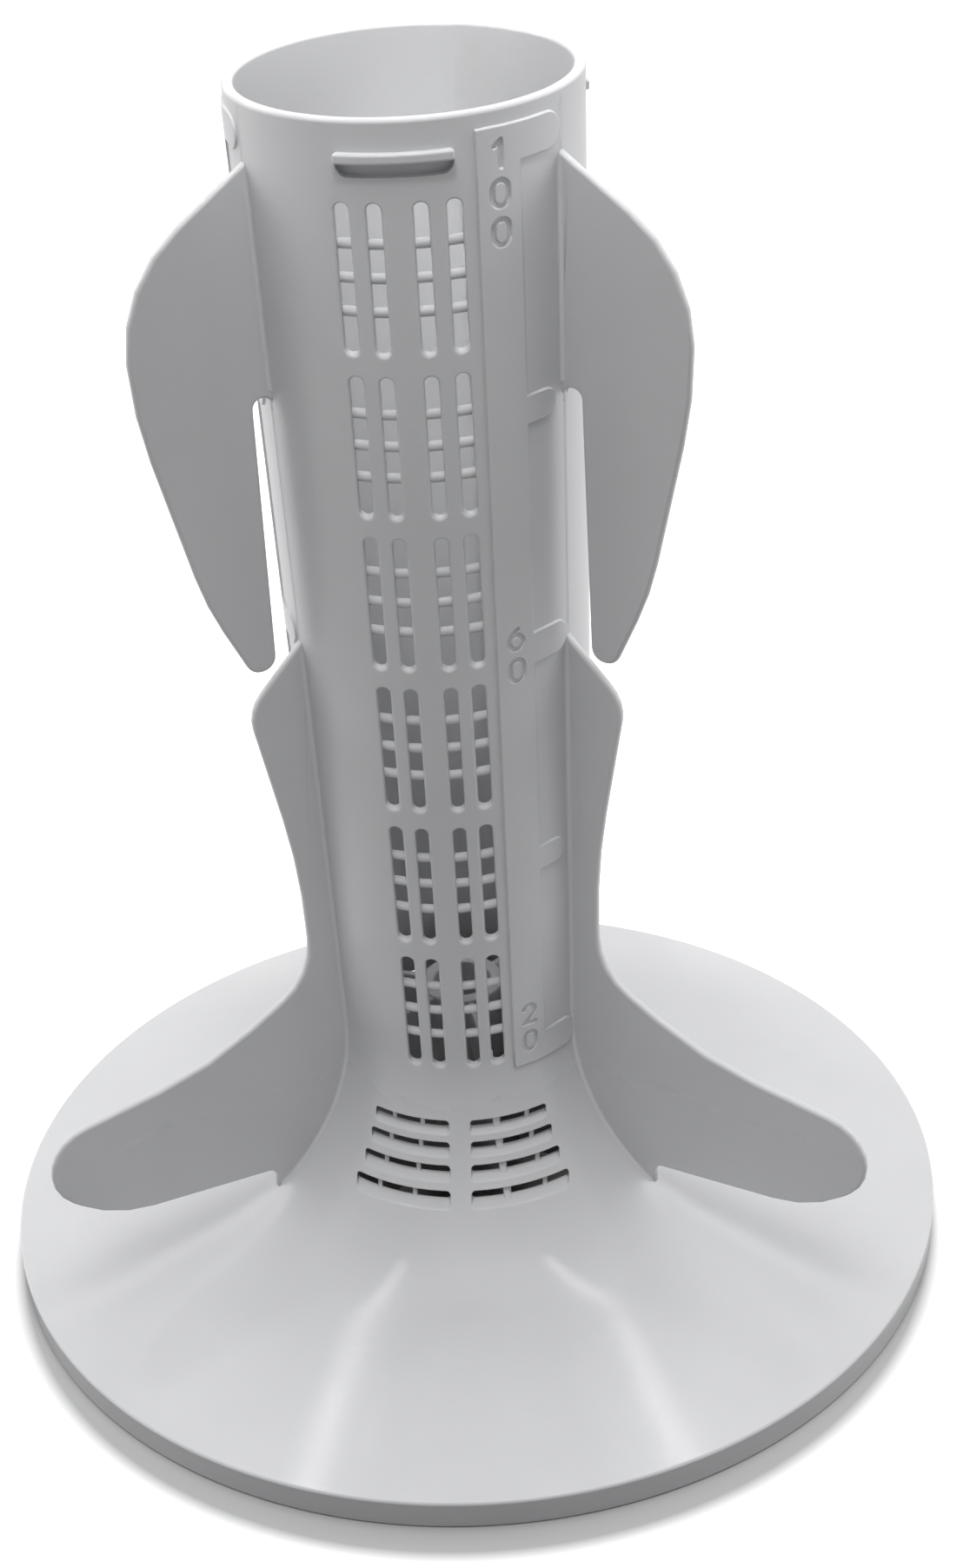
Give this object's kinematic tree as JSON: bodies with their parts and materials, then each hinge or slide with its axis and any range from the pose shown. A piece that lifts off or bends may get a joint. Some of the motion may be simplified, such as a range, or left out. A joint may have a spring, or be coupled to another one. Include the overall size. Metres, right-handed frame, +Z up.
{
  "type": "washing machine agitator",
  "caption": "Moulded washing machine agitator with a slotted hollow column, upright vanes, raised level flags and a flared round skirt.",
  "frame": {"origin": "on the axis, at the level of the bottom edge of the skirt", "axes": "+Z up along the axis, -Y out through the middle of one slotted face, the face that the picture looks at"},
  "size_m": [0.3499, 0.35, 0.432],
  "materials": {
    "moulding": "off-white polypropylene, satin with a soft sheen, paler and a little glossier on the skirt"
  },
  "bodies": {
    "root": {"agitator": "moulding"}
  },
  "joints": []
}
